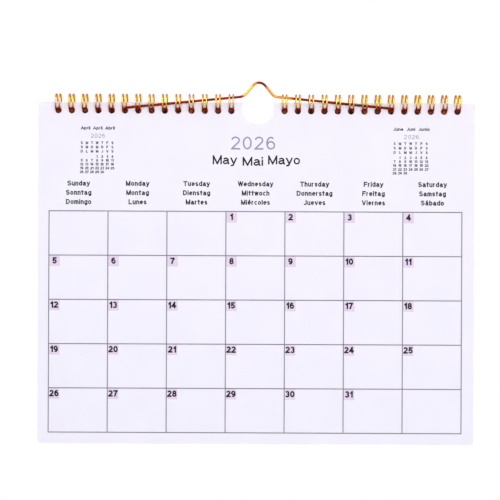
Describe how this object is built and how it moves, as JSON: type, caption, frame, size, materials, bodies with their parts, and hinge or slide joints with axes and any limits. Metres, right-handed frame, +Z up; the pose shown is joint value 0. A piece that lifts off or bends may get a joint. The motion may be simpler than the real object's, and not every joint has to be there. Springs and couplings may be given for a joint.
{
  "type": "wall calendar",
  "caption": "Landscape month-page wall calendar on two double-loop wire combs, with a bent wire hanger and a round thumb cut.",
  "frame": {"origin": "nail seat: the middle of the wire's underside at the top of the hanger's hump", "axes": "+X to the reader's right along the binding, +Y from the front page to the back, +Z up the page"},
  "size_m": [0.277, 0.0109, 0.2304],
  "materials": {
    "leaf_paper": "smooth uncoated white paper, faintly lavender",
    "grid_ink": "printed grey rule lines",
    "field_ink": "printed pale lilac fields",
    "binding_wire": "gold lacquered steel wire",
    "hanger_wire": "gold lacquered steel wire"
  },
  "bodies": {
    "hanger": {"hanger_wire": "hanger_wire"},
    "left_binding": {"left_binding_wire": "binding_wire"},
    "right_binding": {"right_binding_wire": "binding_wire"},
    "leaves": {"leaf_block": "leaf_paper", "printed_grid": "grid_ink", "date_fields": "field_ink"}
  },
  "joints": [
    {"name": "left_binding_turn", "type": "hinge", "parent": "hanger", "child": "left_binding", "pos_m": [-0.0726, 0.00095, -0.01206], "axis": [1, 0, 0], "range_deg": [0, 270]},
    {"name": "right_binding_turn", "type": "hinge", "parent": "hanger", "child": "right_binding", "pos_m": [0.0714, 0.00095, -0.01206], "axis": [1, 0, 0], "range_deg": [0, 270]},
    {"name": "leaves_swing", "type": "hinge", "parent": "hanger", "child": "leaves", "pos_m": [-0.0014, 0.002, -0.017], "axis": [-1, 0, 0], "range_deg": [0, 20]}
  ]
}
